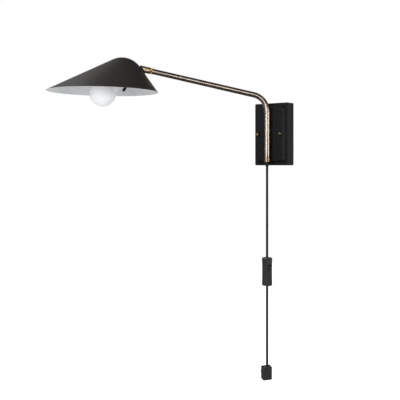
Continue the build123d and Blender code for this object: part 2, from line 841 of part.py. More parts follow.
lead_tail = Plane(origin=lamp_route.line @ 1, z_dir=lamp_route.line % 1)
with BuildPart() as socket_body:
    with BuildSketch(holder_plane.offset(body_back)):
        Circle(holder_d / 2)
    extrude(amount=holder_len)
    fillet(socket_body.edges().group_by(Axis(holder_plane.origin, holder_plane.z_dir))[-1], holder_edge)
    with BuildSketch(holder_plane.offset(body_back + holder_floor)):
        Circle(holder_d / 2 - holder_wall)
    extrude(amount=holder_len, mode=Mode.SUBTRACT)
    with BuildSketch(holder_plane.offset(body_back)):
        with Locations(*holder_screw_places):
            Circle(holder_screw_d / 2 + clear_fit)
    extrude(amount=holder_screw_len - strap_t, mode=Mode.SUBTRACT)
    with BuildSketch(lead_tail):
        Circle(lead_d / 2 + clear_lead)
    extrude(amount=-lead_d, both=True, mode=Mode.SUBTRACT)
socket_body.part.label = "socket_body"
export_step(socket_body.part, "parts/socket_body.step")

shell_back = body_back + holder_floor
with BuildPart() as socket_screw_shell:
    with BuildSketch(holder_plane.offset(shell_back)):
        Circle(screw_shell_d / 2)
    extrude(amount=screw_shell_len)
    with BuildSketch(holder_plane.offset(shell_back + screw_shell_t)):
        Circle(screw_shell_d / 2 - screw_shell_t)
    extrude(amount=screw_shell_len, mode=Mode.SUBTRACT)
    with BuildSketch(holder_plane.offset(shell_back)):
        Circle(bulb_tip_d / 2 + 2 * screw_shell_t)
    extrude(amount=screw_shell_t, mode=Mode.SUBTRACT)
socket_screw_shell.part.label = "socket_screw_shell"
export_step(socket_screw_shell.part, "parts/socket_screw_shell.step")

collar_back = body_back + holder_len + collar_gap
cap_back = collar_back - bulb_cap_len
tip_back = cap_back - bulb_tip_len
with BuildPart() as socket_contact:
    with BuildSketch(holder_plane.offset(shell_back)):
        Circle(bulb_tip_d / 2)
    extrude(amount=tip_back - clear_hole - shell_back)
    fillet(socket_contact.edges().group_by(Axis(holder_plane.origin, holder_plane.z_dir))[-1], bulb_tip_edge)
socket_contact.part.label = "socket_contact"
export_step(socket_contact.part, "parts/socket_contact.step")

# ---------------------------------------------------------------- bulb
bulb_plane = Plane(origin=holder_plane.origin, x_dir=holder_plane.z_dir, z_dir=towards)
bulb_axis = Axis(bulb_plane.origin, holder_plane.z_dir)
collar_mid = collar_back + collar_end_len
collar_front = collar_mid + collar_taper_len
bulb_centre = collar_front + sqrt(bulb_d ** 2 - collar_wide_d ** 2) / 2
bulb_middle = holder_plane.origin + holder_plane.z_dir * bulb_centre
glass_cut = holder_plane.offset(collar_front)

with BuildPart(Plane(origin=bulb_middle, z_dir=holder_plane.z_dir)) as bulb_globe:
    Sphere(bulb_d / 2)
    Sphere(bulb_d / 2 - bulb_glass, mode=Mode.SUBTRACT)
    split(bisect_by=glass_cut, keep=Keep.TOP)
bulb_globe.part.label = "bulb_globe"
export_step(bulb_globe.part, "parts/bulb_globe.step")

with BuildPart() as bulb_collar:
    with BuildSketch(bulb_plane):
        with BuildLine():
            Polyline(
                (collar_front, 0),
                (collar_front, collar_wide_d / 2),
                (collar_mid, collar_mid_d / 2),
                (collar_back, collar_end_d / 2),
                (collar_back, 0),
                close=True,
            )
        make_face()
    revolve(axis=bulb_axis)
bulb_collar.part.label = "bulb_collar"
export_step(bulb_collar.part, "parts/bulb_collar.step")

with BuildPart() as bulb_cap:
    with BuildSketch(holder_plane.offset(collar_back)):
        Circle(bulb_cap_d / 2)
    extrude(amount=-bulb_cap_len)
    fillet(bulb_cap.edges().group_by(bulb_axis)[0], holder_edge)
bulb_cap.part.label = "bulb_cap"
export_step(bulb_cap.part, "parts/bulb_cap.step")

with BuildPart() as bulb_contact:
    with BuildSketch(holder_plane.offset(cap_back)):
        Circle(bulb_tip_d / 2)
    extrude(amount=-bulb_tip_len)
    fillet(bulb_contact.edges().group_by(bulb_axis)[0], bulb_tip_edge)
bulb_contact.part.label = "bulb_contact"
export_step(bulb_contact.part, "parts/bulb_contact.step")

# ---------------------------------------------------------------- cord
switch_bottom_z = switch_top_z - switch_h
with BuildPart() as cord_upper:
    with BuildSketch(level(switch_top_z)):
        Circle(cord_d / 2)
    extrude(amount=cord_exit_z - switch_top_z)
cord_upper.part.label = "cord_upper"
export_step(cord_upper.part, "parts/cord_upper.step")

with BuildPart() as cord_lower:
    with BuildSketch(level(plug_top_z)):
        Circle(cord_d / 2)
    extrude(amount=switch_bottom_z - plug_top_z)
cord_lower.part.label = "cord_lower"
export_step(cord_lower.part, "parts/cord_lower.step")

# ---------------------------------------------------------------- switch
switch_turn = radians(switch_yaw)
switch_plane = Plane(
    origin=(0, -tube_stand, (switch_top_z + switch_bottom_z) / 2),
    x_dir=(cos(switch_turn), sin(switch_turn), 0),
    z_dir=(sin(switch_turn), -cos(switch_turn), 0),
)
switch_half = switch_d / 2


def hourglass(width, waist, height, corner):
    """Closed outline with straight ends, waisted sides and round corners."""
    with BuildLine() as outline:
        right = ThreePointArc((width / 2, height / 2), (waist / 2, 0), (width / 2, -height / 2))
        left = ThreePointArc((-width / 2, -height / 2), (-waist / 2, 0), (-width / 2, height / 2))
        Line(left @ 1, right @ 0)
        Line(right @ 1, left @ 0)
    make_face(outline.edges())
    fillet(vertices(), corner)


def cord_holes():
    """Round passages for the cord at both ends of the switch."""
    for z in (switch_top_z, switch_bottom_z):
        with BuildSketch(level(z)) as passage:
            Circle(cord_d / 2 + clear_lead)
        extrude(passage.sketch, amount=2 * switch_wall, both=True, mode=Mode.SUBTRACT)


screw_places = ((case_screw_x, case_screw_y), (-case_screw_x, -case_screw_y))
window_face = switch_half - frame_deep
cavity_front = window_face - switch_wall
pin_z = window_face - pin_below

with BuildPart() as switch_back_shell:
    with BuildSketch(switch_plane):
        hourglass(switch_w, switch_waist, switch_h, switch_corner)
    extrude(amount=-switch_half)
    back_face = switch_back_shell.faces().sort_by(Axis(switch_plane.origin, switch_plane.z_dir))[0]
    fillet(back_face.edges(), switch_edge)
    with BuildSketch(switch_plane):
        hourglass(switch_w - 2 * switch_wall, switch_waist - 2 * switch_wall, switch_h - 2 * switch_wall,
                  switch_corner - switch_wall)
    extrude(amount=switch_wall - switch_half, mode=Mode.SUBTRACT)
    with BuildSketch(switch_plane):
        with Locations(*screw_places):
            Circle(case_boss_d / 2)
    extrude(amount=-switch_half + switch_edge)
    with BuildSketch(switch_plane):
        with Locations(*screw_places):
            Circle(case_screw_d / 2 + clear_lead)
    extrude(amount=-switch_half, mode=Mode.SUBTRACT)
    with BuildSketch(switch_plane.offset(-switch_half)):
        with Locations(*screw_places):
            Circle(case_screw_head_d / 2 + clear_lead)
    extrude(amount=case_screw_head_t + clear_hole, mode=Mode.SUBTRACT)
    cord_holes()
switch_back_shell.part.label = "switch_back_shell"
export_step(switch_back_shell.part, "parts/switch_back_shell.step")

with BuildPart() as switch_front_shell:
    with BuildSketch(switch_plane):
        hourglass(switch_w, switch_waist, switch_h, switch_corner)
    extrude(amount=switch_half)
    front_face = switch_front_shell.faces().sort_by(Axis(switch_plane.origin, switch_plane.z_dir))[-1]
    fillet(front_face.edges(), switch_edge)
    with BuildSketch(switch_plane):
        hourglass(switch_w - 2 * switch_wall, switch_waist - 2 * switch_wall, switch_h - 2 * switch_wall,
                  switch_corner - switch_wall)
    extrude(amount=cavity_front, mode=Mode.SUBTRACT)
    with BuildSketch(switch_plane):
        with Locations(*screw_places):
            Circle(case_boss_d / 2)
    extrude(amount=cavity_front)
    with BuildSketch(switch_plane):
        with Locations(*screw_places):
            Circle(case_screw_d / 2 + clear_fit)
    extrude(amount=cavity_front, mode=Mode.SUBTRACT)
    with BuildSketch(switch_plane.offset(cavity_front)):
        with GridLocations(window_w + 2 * clear_hole + switch_wall, 0, 2, 1):
            Rectangle(switch_wall, ear_h)
    extrude(amount=-(cavity_front - pin_z) - pin_d)
    with BuildSketch(switch_plane.offset(window_face)):
        RectangleRounded(frame_w, frame_h, frame_corner)
    extrude(amount=frame_deep, mode=Mode.SUBTRACT)
    with BuildSketch(switch_plane.offset(cavity_front)):
        Rectangle(window_w, window_h)
    extrude(amount=switch_wall, mode=Mode.SUBTRACT)
    pin_plane = Plane(origin=switch_plane.origin + switch_plane.z_dir * pin_z, z_dir=switch_plane.x_dir)
    with BuildSketch(pin_plane):
        Circle(pin_d / 2 + clear_fit)
    extrude(amount=window_w / 2 + switch_wall + 2 * clear_hole, both=True, mode=Mode.SUBTRACT)
    cord_holes()
switch_front_shell.part.label = "switch_front_shell"
export_step(switch_front_shell.part, "parts/switch_front_shell.step")

with BuildPart() as switch_screws:
    head_seat = case_screw_head_t + clear_hole - switch_half
    with BuildSketch(switch_plane.offset(head_seat)):
        with Locations(*screw_places):
            Circle(case_screw_head_d / 2)
    extrude(amount=-case_screw_head_t)
    with BuildSketch(switch_plane.offset(head_seat)):
        with Locations(*screw_places):
            Circle(case_screw_d / 2)
    extrude(amount=cavity_front - clear_hole - head_seat)
switch_screws.part.label = "switch_screws"
export_step(switch_screws.part, "parts/switch_screws.step")

rocker_turn = radians(rocker_angle)
rocker_plane = Plane(
    origin=pin_plane.origin,
    x_dir=Vector(0, 0, cos(rocker_turn)) + switch_plane.z_dir * sin(rocker_turn),
    z_dir=switch_plane.x_dir * -1,
)
with BuildPart() as switch_rocker:
    with BuildSketch(rocker_plane):
        with BuildLine():
            Polyline(
                (-rocker_h / 2, -rocker_end),
                (0, -rocker_mid),
                (rocker_h / 2, -rocker_end),
                (rocker_h / 2, -rocker_low),
                (rocker_foot_w / 2, rocker_foot),
                (-rocker_foot_w / 2, rocker_foot),
                (-rocker_h / 2, -rocker_low),
                close=True,
            )
        make_face()
        Circle(pin_d / 2 + clear_run, mode=Mode.SUBTRACT)
    extrude(amount=rocker_w / 2, both=True)
switch_rocker.part.label = "switch_rocker"
export_step(switch_rocker.part, "parts/switch_rocker.step")

with BuildPart() as rocker_pin:
    with BuildSketch(pin_plane):
        Circle(pin_d / 2)
    extrude(amount=window_w / 2 + clear_hole + switch_wall / 2, both=True)
rocker_pin.part.label = "rocker_pin"
export_step(rocker_pin.part, "parts/rocker_pin.step")

floor_z = switch_wall - switch_half
with BuildPart() as switch_contacts:
    with BuildSketch(switch_plane.offset(floor_z)):
        with GridLocations(0, 2 * contact_y, 1, 2):
            Rectangle(contact_post, contact_post)
    extrude(amount=contact_rise)
    with BuildSketch(switch_plane.offset(floor_z + contact_rise)):
        with GridLocations(0, 2 * contact_y, 1, 2):
            Rectangle(contact_w, contact_len)
    extrude(amount=contact_t)
switch_contacts.part.label = "switch_contacts"
export_step(switch_contacts.part, "parts/switch_contacts.step")

with BuildPart() as switch_leads:
    with BuildSketch(level(switch_top_z)):
        Circle(cord_d / 2)
    extrude(amount=-switch_lead_in)
    with BuildSketch(level(switch_bottom_z)):
        Circle(cord_d / 2)
    extrude(amount=switch_lead_in)
switch_leads.part.label = "switch_leads"
export_step(switch_leads.part, "parts/switch_leads.step")

# ---------------------------------------------------------------- plug
plug_turn = radians(plug_yaw)
plug_plane = Plane(
    origin=(0, -tube_stand, plug_top_z - plug_h / 2),
    x_dir=(cos(plug_turn), sin(plug_turn), 0),
    z_dir=(sin(plug_turn), -cos(plug_turn), 0),
)
plate_middle = (0, (plug_h - plug_plate_h) / 2 + plug_plate_raise)

with BuildPart() as plug_body:
    with BuildSketch(plug_plane.offset(-plug_back)):
        RectangleRounded(plug_w, plug_h, plug_corner)
    extrude(amount=plug_back + plug_front)
    front = plug_body.faces().sort_by(Axis(plug_plane.origin, plug_plane.z_dir))[-1]
    fillet(front.edges(), plug_edge)
    with BuildSketch(plug_plane.offset(plug_front - plug_rib_t)):
        RectangleRounded(plug_rib_w, plug_h - 2 * plug_corner, plug_edge)
    extrude(amount=2 * plug_rib_t)
    with BuildSketch(plug_plane.offset(-plug_back)):
        with GridLocations(blade_span, 0, 2, 1):
            Rectangle(blade_t + 2 * clear_fit, blade_w + 2 * clear_fit)
    extrude(amount=blade_in + clear_lead, mode=Mode.SUBTRACT)
plug_body.part.label = "plug_body"
export_step(plug_body.part, "parts/plug_body.step")

with BuildPart() as plug_flange:
    with BuildSketch(plug_plane.offset(-plug_back)):
        with Locations(plate_middle):
            RectangleRounded(plug_plate_w, plug_plate_h, plug_corner)
        with GridLocations(blade_span, 0, 2, 1):
            Rectangle(blade_t + 2 * clear_fit, blade_w + 2 * clear_fit, mode=Mode.SUBTRACT)
    extrude(amount=-plug_plate_t)
    back = plug_flange.faces().sort_by(Axis(plug_plane.origin, plug_plane.z_dir))[0]
    chamfer(back.outer_wire().edges(), blade_edge)
plug_flange.part.label = "plug_flange"
export_step(plug_flange.part, "parts/plug_flange.step")

with BuildPart() as plug_blades:
    with BuildSketch(plug_plane.offset(blade_in - plug_back)):
        with GridLocations(blade_span, 0, 2, 1):
            Rectangle(blade_t, blade_w)
    extrude(amount=-(blade_in + plug_plate_t + blade_out))
    tips = plug_blades.faces().group_by(Axis(plug_plane.origin, plug_plane.z_dir))[0]
    chamfer(tips.edges().filter_by(Axis.Z), blade_edge / 2)
plug_blades.part.label = "plug_blades"
export_step(plug_blades.part, "parts/plug_blades.step")
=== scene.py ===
import math

import bpy
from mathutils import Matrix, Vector


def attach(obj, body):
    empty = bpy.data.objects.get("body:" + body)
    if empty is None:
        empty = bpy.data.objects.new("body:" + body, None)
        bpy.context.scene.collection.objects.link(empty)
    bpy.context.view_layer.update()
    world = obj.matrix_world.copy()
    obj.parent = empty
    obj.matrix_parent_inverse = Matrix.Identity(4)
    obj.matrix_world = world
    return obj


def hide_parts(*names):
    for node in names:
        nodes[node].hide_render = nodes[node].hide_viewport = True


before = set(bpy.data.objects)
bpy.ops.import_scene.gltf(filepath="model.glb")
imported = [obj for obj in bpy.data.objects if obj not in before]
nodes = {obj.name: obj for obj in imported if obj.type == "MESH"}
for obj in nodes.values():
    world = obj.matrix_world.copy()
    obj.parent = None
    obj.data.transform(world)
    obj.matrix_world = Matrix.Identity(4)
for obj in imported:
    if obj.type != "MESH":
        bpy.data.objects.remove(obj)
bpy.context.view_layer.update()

# ---------------------------------------------------------------- wall bracket, screws and nuts
# The cross-shaped wall bracket, its studs and every hidden screw, nut and washer are steel, pressed
# or turned, then zinc plated. The plating gives a pale grey, softly shining metal with a faint
# mottle, whose crystals are about 3 mm across.


def colour(code):
    """Linear RGBA from an sRGB hex value."""
    parts = [int(code[i:i + 2], 16) / 255 for i in (1, 3, 5)]
    return [c / 12.92 if c <= 0.04045 else ((c + 0.055) / 1.055) ** 2.4 for c in parts] + [1.0]


def add(tree, kind, links=None, **settings):
    """Adds a node. Settings are its properties, links its inputs: a value, or a node and its output."""
    made = tree.nodes.new(kind)
    for name, value in settings.items():
        setattr(made, name, value)
    for name, value in (links or {}).items():
        if isinstance(value, tuple) and isinstance(value[0], bpy.types.Node):
            tree.links.new(value[0].outputs[value[1]], made.inputs[name])
        else:
            made.inputs[name].default_value = value
    return made


def finish(name, code, metallic, roughness, ior=None):
    """A new material with one Principled shader: the material, its node tree and the shader."""
    made = bpy.data.materials.new(name)
    made.use_nodes = True
    made.diffuse_color = colour(code)
    shader = made.node_tree.nodes["Principled BSDF"]
    shader.inputs["Base Color"].default_value = colour(code)
    shader.inputs["Metallic"].default_value = metallic
    shader.inputs["Roughness"].default_value = roughness
    if ior:
        shader.inputs["IOR"].default_value = ior
    return made, made.node_tree, shader


def coat(made, *names):
    """Gives CAD nodes this material in place of the plain one that they came with."""
    for name in names:
        nodes[name].data.materials.clear()
        nodes[name].data.materials.append(made)


def vary(tree, shader, pattern, low, high, smooth, rough):
    """Runs the colour from low to high and the roughness from smooth to rough with a pattern."""
    tint = add(tree, "ShaderNodeMix", {0: pattern, 6: colour(low), 7: colour(high)}, data_type="RGBA")
    tree.links.new(tint.outputs[2], shader.inputs["Base Color"])
    gloss = add(tree, "ShaderNodeMapRange", {"Value": pattern, "To Min": smooth, "To Max": rough})
    tree.links.new(gloss.outputs["Result"], shader.inputs["Roughness"])


def dent(tree, shader, pattern, depth, strength):
    """Raises and lowers the surface with a pattern, depth in metres from its lowest to its highest."""
    bump = add(tree, "ShaderNodeBump", {"Height": pattern, "Distance": depth, "Strength": strength})
    tree.links.new(bump.outputs["Normal"], shader.inputs["Normal"])


zinc, tree, shader = finish("zinc_plated_steel", "#B9BCC0", 1.0, 0.38)
place = add(tree, "ShaderNodeTexCoord")
spangle = add(tree, "ShaderNodeTexVoronoi", {"Vector": (place, "Object"), "Scale": 1000 / 3},
              feature="SMOOTH_F1")
vary(tree, shader, (spangle, "Distance"), "#A6AAAF", "#C8CACD", 0.3, 0.45)
coat(zinc, "mounting_bracket", "canopy_studs", "stud_nuts", "post_washers", "post_screws", "switch_screws",
     "rocker_pin", "holder_screws", "swivel_screw", "shade_nipple", "nipple_nut", "saddle_washer")

# ---------------------------------------------------------------- wall plate
# A box pressed from 1.2 mm steel, with a raised panel, powder coated matte black. The coat melts
# to a soft, even sheen with a fine orange-peel grain. The real grain is about 0.6 mm and is drawn
# at 1.6 mm, because it would not show.

powder, tree, shader = finish("black_powder_coat", "#141416", 0.0, 0.42, 1.5)
place = add(tree, "ShaderNodeTexCoord")
handling = add(tree, "ShaderNodeTexNoise", {"Vector": (place, "Object"), "Scale": 1000 / 55, "Detail": 3.0})
vary(tree, shader, (handling, "Fac"), "#121214", "#17171A", 0.38, 0.48)
shader.inputs["Specular IOR Level"].default_value = 0.2
peel = add(tree, "ShaderNodeTexNoise", {"Vector": (place, "Object"), "Scale": 1000 / 1.6, "Detail": 2.0})
dent(tree, shader, (peel, "Fac"), 0.00012, 0.5)
coat(powder, "canopy_cover")

# ---------------------------------------------------------------- ball nuts
# Two domed nuts turned from brass bar, polished and lacquered, that hold the plate on its studs.
# A golden metal with fine rings round the turning axis. The tool marks are about 0.2 mm apart and
# are drawn at 0.9 mm so that they show.


def turned_brass(name, axis, low, high, polish=0.3):
    """Lacquered brass turned on a lathe: rings across the axis under a thin clear coat."""
    made, tree, shader = finish(name, high, 1.0, 0.22)
    place = add(tree, "ShaderNodeTexCoord")
    lathe = add(tree, "ShaderNodeMapping", {"Vector": (place, "Object"), "Scale": (0.02, 0.02, 0.0009),
                                            "Rotation": axis.to_track_quat("Z", "Y").to_euler()},
                vector_type="TEXTURE")
    rings = add(tree, "ShaderNodeTexNoise", {"Vector": (lathe, "Vector"), "Scale": 1.0, "Detail": 2.0})
    dent(tree, shader, (rings, "Fac"), 0.00002, 0.2)
    tarnish = add(tree, "ShaderNodeTexNoise", {"Vector": (place, "Object"), "Scale": 1000 / 7, "Detail": 4.0})
    vary(tree, shader, (tarnish, "Fac"), low, high, polish - 0.05, polish + 0.05)
    shader.inputs["Coat Weight"].default_value = 0.3
    shader.inputs["Coat Roughness"].default_value = 0.15
    return made


up = Vector((0, 0, 1))
from_wall = Vector((0, -1, 0))
coat(turned_brass("brass_turned_nuts", from_wall, "#77684A", "#A2906A"), "ball_nuts")

# ---------------------------------------------------------------- posts, wall tube and arm tube
# Drawn brass tube, darkened in a chemical bath and rubbed back by hand along its length. A
# brown-gold metal with lengthwise streaks 1.5 mm wide and 50 mm long, over clouds of 25 mm.


def antique_brass(name, along):
    """Brass, antiqued and brushed along one direction, under a thin satin lacquer."""
    made, tree, shader = finish(name, "#AA9C8F", 1.0, 0.27)
    place = add(tree, "ShaderNodeTexCoord")
    brushing = add(tree, "ShaderNodeMapping", {"Vector": (place, "Object"), "Scale": (0.0015, 0.0015, 0.05),
                                               "Rotation": along.to_track_quat("Z", "Y").to_euler()},
                   vector_type="TEXTURE")
    streak = add(tree, "ShaderNodeTexNoise", {"Vector": (brushing, "Vector"), "Scale": 1.0, "Detail": 2.0})
    cloud = add(tree, "ShaderNodeTexNoise", {"Vector": (place, "Object"), "Scale": 1000 / 25, "Detail": 2.0})
    both = add(tree, "ShaderNodeMix", {0: 0.45, 2: (cloud, "Fac"), 3: (streak, "Fac")})
    spread = add(tree, "ShaderNodeMapRange", {"Value": (both, "Result"), "From Min": 0.36, "From Max": 0.64})
    vary(tree, shader, (spread, "Result"), "#9C8E80", "#B8AB9E", 0.24, 0.3)
    shader.inputs["Coat Weight"].default_value = 0.6
    shader.inputs["Coat Roughness"].default_value = 0.2
    return made


arm_yaw = math.radians(51)
arm_rise = math.radians(13)
outward = Vector((-math.sin(arm_yaw), -math.cos(arm_yaw), 0))
along_arm = outward * math.cos(arm_rise) + up * math.sin(arm_rise)
coat(antique_brass("antique_brass_upright", up), "wall_tube")
coat(antique_brass("antique_brass_arm", along_arm), "arm_tube")
coat(turned_brass("antique_brass_posts", from_wall, "#6E6152", "#8F8274"), "tube_posts")

# ---------------------------------------------------------------- bottom collar
# A plain ring turned from brass, lacquered while still bright, pushed into the foot of the tube.

coat(turned_brass("brass_turned_collar", up, "#8A7557", "#A6927A"), "bottom_collar")

# ---------------------------------------------------------------- swing pivot
# Inside the wall tube a turned bronze spigot runs in two cast bronze bushes, on a white nylon
# washer, and is held by a wave washer and a clip of blued spring steel. Oil keeps the bronze dark
# and satin. The nylon is milky, with a grain of about 1 mm from its mould.

bronze, tree, shader = finish("oiled_bronze", "#96683F", 1.0, 0.35)
place = add(tree, "ShaderNodeTexCoord")
oil = add(tree, "ShaderNodeTexNoise", {"Vector": (place, "Object"), "Scale": 1000 / 4, "Detail": 4.0})
vary(tree, shader, (oil, "Fac"), "#7E5532", "#AD7B4C", 0.28, 0.44)
coat(bronze, "arm_spigot", "pivot_bushes")

spring, tree, shader = finish("blued_spring_steel", "#6E7074", 1.0, 0.3)
place = add(tree, "ShaderNodeTexCoord")
bluing = add(tree, "ShaderNodeTexNoise", {"Vector": (place, "Object"), "Scale": 1000 / 5, "Detail": 3.0})
vary(tree, shader, (bluing, "Fac"), "#5C6068", "#7F8185", 0.25, 0.4)
coat(spring, "pivot_wave_washer", "pivot_clip")

nylon, tree, shader = finish("white_nylon", "#E4E1DA", 0.0, 0.45, 1.53)
place = add(tree, "ShaderNodeTexCoord")
grain = add(tree, "ShaderNodeTexNoise", {"Vector": (place, "Object"), "Scale": 1000, "Detail": 2.0})
vary(tree, shader, (grain, "Fac"), "#DEDBD3", "#E9E6E0", 0.38, 0.52)
coat(nylon, "seam_washer", "swivel_friction_washer")

# ---------------------------------------------------------------- strain relief and gasket
# Moulded black rubber: a tapered sleeve pushed up into the collar, and the gasket that beds the
# brass swivel on the shade. Dull, with a dusty bloom in patches of about 4 mm and a moulded grain
# of 0.7 mm.

rubber, tree, shader = finish("black_moulded_rubber", "#161616", 0.0, 0.6, 1.52)
place = add(tree, "ShaderNodeTexCoord")
bloom = add(tree, "ShaderNodeTexNoise", {"Vector": (place, "Object"), "Scale": 1000 / 4, "Detail": 4.0})
vary(tree, shader, (bloom, "Fac"), "#111111", "#1E1E1E", 0.52, 0.7)
grain = add(tree, "ShaderNodeTexNoise", {"Vector": (place, "Object"), "Scale": 1000 / 0.7, "Detail": 1.0})
dent(tree, shader, (grain, "Fac"), 0.00008, 0.5)
coat(rubber, "cord_strain_relief", "shade_gasket")

# ---------------------------------------------------------------- cord
# A round two-core cord, 6.6 mm thick, in a black PVC jacket. It leaves the strain relief, hangs
# straight down to the switch and on to the plug. Extruded PVC is smooth, with one soft line of
# shine and a faint matt bloom in patches of about 6 mm.

jacket, tree, shader = finish("black_pvc_jacket", "#161617", 0.0, 0.55, 1.53)
place = add(tree, "ShaderNodeTexCoord")
bloom = add(tree, "ShaderNodeTexNoise", {"Vector": (place, "Object"), "Scale": 1000 / 6, "Detail": 3.0})
vary(tree, shader, (bloom, "Fac"), "#131314", "#1B1B1C", 0.5, 0.62)
shader.inputs["Specular IOR Level"].default_value = 0.25
coat(jacket, "tube_lead", "arm_lead", "lamp_lead", "switch_leads")
cord_thick = 0.0066
tube_stand = 0.052
cord_top, switch_top, switch_bottom, plug_top = -0.0932, -0.3503, -0.4316, -0.6612


def hanging_cord(name, top, bottom, cad_tube):
    """A smooth spline down the plumb line, with a point 6 diameters from each end."""
    line = bpy.data.curves.new(name, "CURVE")
    line.dimensions = "3D"
    spline = line.splines.new("NURBS")
    run = 6 * cord_thick
    heights = [top, top - run, (top + bottom) / 2, bottom + run, bottom]
    spline.points.add(len(heights) - 1)
    for point, z in zip(spline.points, heights):
        point.co = (0, -tube_stand, z, 1)
    spline.order_u = 3
    spline.use_endpoint_u = True
    line.bevel_depth = cord_thick / 2
    line.bevel_resolution = 8
    line.use_fill_caps = True
    line.materials.append(jacket)
    made = bpy.data.objects.new(name, line)
    bpy.context.scene.collection.objects.link(made)
    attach(made, "wall_part")
    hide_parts(cad_tube)


hanging_cord("upper_flex", cord_top, switch_top, "cord_upper")
hanging_cord("lower_flex", switch_bottom, plug_top, "cord_lower")

# ---------------------------------------------------------------- switch and plug
# Both are injection moulded in black ABS, with a fine spark-eroded grain from the mould. The real
# grain is about 0.3 mm and is drawn at 1 mm. Hands have polished it a little in patches of 12 mm.
# The switch halves are screwed together over the cord, and the plug is moulded on.

moulded, tree, shader = finish("black_moulded_abs", "#343435", 0.0, 0.42, 1.54)
place = add(tree, "ShaderNodeTexCoord")
polish = add(tree, "ShaderNodeTexNoise", {"Vector": (place, "Object"), "Scale": 1000 / 12, "Detail": 3.0})
vary(tree, shader, (polish, "Fac"), "#2E2E2F", "#3A3A3B", 0.34, 0.5)
spark = add(tree, "ShaderNodeTexNoise", {"Vector": (place, "Object"), "Scale": 1000, "Detail": 2.0})
dent(tree, shader, (spark, "Fac"), 0.00008, 0.6)
coat(moulded, "plug_body", "plug_flange", "switch_back_shell", "switch_front_shell", "switch_rocker")

# ---------------------------------------------------------------- blades and contacts
# Stamped brass with a thin nickel plate: the plug's blades, the switch contacts, the lamp holder's
# thread and the bulb's cap. Bright, faintly warm, with fine rolling lines 1 mm apart and 20 mm long.

plated, tree, shader = finish("nickel_plated_brass", "#CCC7BB", 1.0, 0.2)
place = add(tree, "ShaderNodeTexCoord")
rolling = add(tree, "ShaderNodeMapping", {"Vector": (place, "Object"), "Scale": (0.001, 0.02, 0.001)},
              vector_type="TEXTURE")
lines = add(tree, "ShaderNodeTexNoise", {"Vector": (rolling, "Vector"), "Scale": 1.0, "Detail": 2.0})
vary(tree, shader, (lines, "Fac"), "#BDB7A8", "#D8D4CA", 0.14, 0.28)
coat(plated, "plug_blades", "switch_contacts", "socket_screw_shell", "socket_contact", "bulb_cap",
     "bulb_contact")

# ---------------------------------------------------------------- tilt swivel
# Two half-lapped knuckles turned from brass bar and lacquered, screwed together so that the shade
# tilts between them. Brighter and more golden than the tubes.

coat(turned_brass("brass_turned_swivel", along_arm, "#D6BC8C", "#EBD8AE", 0.42), "swivel_arm_half",
     "swivel_shade_half")

# ---------------------------------------------------------------- shade
# A cone spun from aluminium sheet and trimmed on the slant. Outside it has a baked matte enamel, a
# warm near-black with a soft sheen and faint spinning rings, drawn 4 mm apart so that they show.
# Inside it is sprayed white, with an orange-peel grain drawn at 2 mm.

outside, tree, shader = finish("black_baked_enamel", "#332F2D", 0.0, 0.45, 1.5)
place = add(tree, "ShaderNodeTexCoord")
cone_lean = math.radians(14.8)
cone_axis = up * math.cos(cone_lean) - outward * math.sin(cone_lean)
spinning = add(tree, "ShaderNodeMapping", {"Vector": (place, "Object"), "Scale": (0.15, 0.15, 0.004),
                                           "Rotation": cone_axis.to_track_quat("Z", "Y").to_euler()},
               vector_type="TEXTURE")
rings = add(tree, "ShaderNodeTexNoise", {"Vector": (spinning, "Vector"), "Scale": 1.0, "Detail": 2.0})
dent(tree, shader, (rings, "Fac"), 0.00004, 0.5)
spray = add(tree, "ShaderNodeTexNoise", {"Vector": (place, "Object"), "Scale": 1000 / 70, "Detail": 4.0})
vary(tree, shader, (spray, "Fac"), "#2F2B29", "#383432", 0.42, 0.52)
shader.inputs["Specular IOR Level"].default_value = 0.3

inside, tree, shader = finish("white_sprayed_enamel", "#E9EAEC", 0.0, 0.45, 1.5)
place = add(tree, "ShaderNodeTexCoord")
haze = add(tree, "ShaderNodeTexNoise", {"Vector": (place, "Object"), "Scale": 1000 / 60, "Detail": 3.0})
vary(tree, shader, (haze, "Fac"), "#D0D2D5", "#DBDCDE", 0.38, 0.52)
peel = add(tree, "ShaderNodeTexNoise", {"Vector": (place, "Object"), "Scale": 1000 / 2, "Detail": 2.0})
dent(tree, shader, (peel, "Fac"), 0.0001, 0.5)

shade = nodes["shade"]
shade.data.materials.clear()
shade.data.materials.append(outside)
shade.data.materials.append(inside)
apex = Vector((0, -tube_stand, 0)) + outward * 0.39178 + up * 0.23429
for face in shade.data.polygons:
    spoke = face.center - apex
    spoke -= cone_axis * spoke.dot(cone_axis)
    face.material_index = 1 if face.normal.dot(spoke) < 0 else 0

# ---------------------------------------------------------------- lamp holder and its strap
# A glazed white porcelain holder, screwed to a strap of folded steel in stoved white enamel. The
# glaze is glossy over a body that is slightly uneven every 8 mm, and the enamel has a softer shine.

porcelain, tree, shader = finish("white_glazed_porcelain", "#E8E6E1", 0.0, 0.14, 1.54)
place = add(tree, "ShaderNodeTexCoord")
body = add(tree, "ShaderNodeTexNoise", {"Vector": (place, "Object"), "Scale": 1000 / 8, "Detail": 3.0})
vary(tree, shader, (body, "Fac"), "#E2DFD9", "#EEECE8", 0.1, 0.2)
dent(tree, shader, (body, "Fac"), 0.0002, 0.3)
coat(porcelain, "socket_body", "socket_cap")

stoved, tree, shader = finish("white_stoved_enamel", "#E3E4E5", 0.0, 0.32, 1.5)
place = add(tree, "ShaderNodeTexCoord")
flow = add(tree, "ShaderNodeTexNoise", {"Vector": (place, "Object"), "Scale": 1000 / 3, "Detail": 3.0})
vary(tree, shader, (flow, "Fac"), "#DCDDDE", "#EAEBEB", 0.26, 0.4)
dent(tree, shader, (flow, "Fac"), 0.00008, 0.4)
coat(stoved, "socket_bracket")

